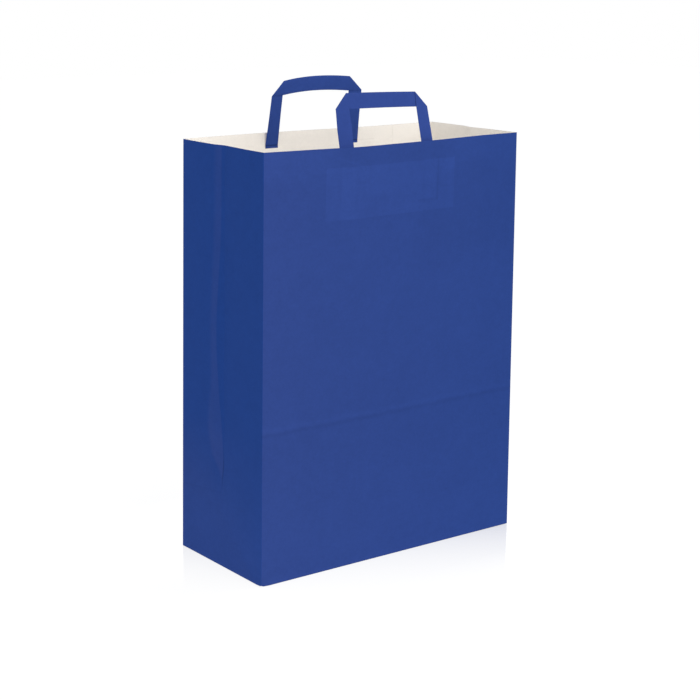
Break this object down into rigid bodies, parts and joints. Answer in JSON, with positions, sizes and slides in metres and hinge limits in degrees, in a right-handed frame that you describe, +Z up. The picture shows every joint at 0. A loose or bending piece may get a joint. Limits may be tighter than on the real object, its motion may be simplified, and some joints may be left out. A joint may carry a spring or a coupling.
{
  "type": "paper carrier bag",
  "caption": "Tall paper carrier bag standing open, with a flat block bottom, tucked side gussets and flat folded-paper handles glued inside the front and back walls.",
  "frame": {"origin": "middle of the base, on the underside of its outer flap, at the level that the bag stands on", "axes": "+Z up along the walls, +X to the right along the front wall, +Y from the front wall to the back wall"},
  "size_m": [0.322, 0.1567, 0.4753],
  "materials": {
    "printed_paper": "matt print outside, bare off-white paper inside",
    "handle_paper": "matt print",
    "patch_paper": "matt, bare off-white paper"
  },
  "bodies": {
    "root": {"bag_body": "printed_paper", "front_handle": "handle_paper", "rear_handle": "handle_paper", "front_patch": "patch_paper", "rear_patch": "patch_paper"}
  },
  "joints": []
}
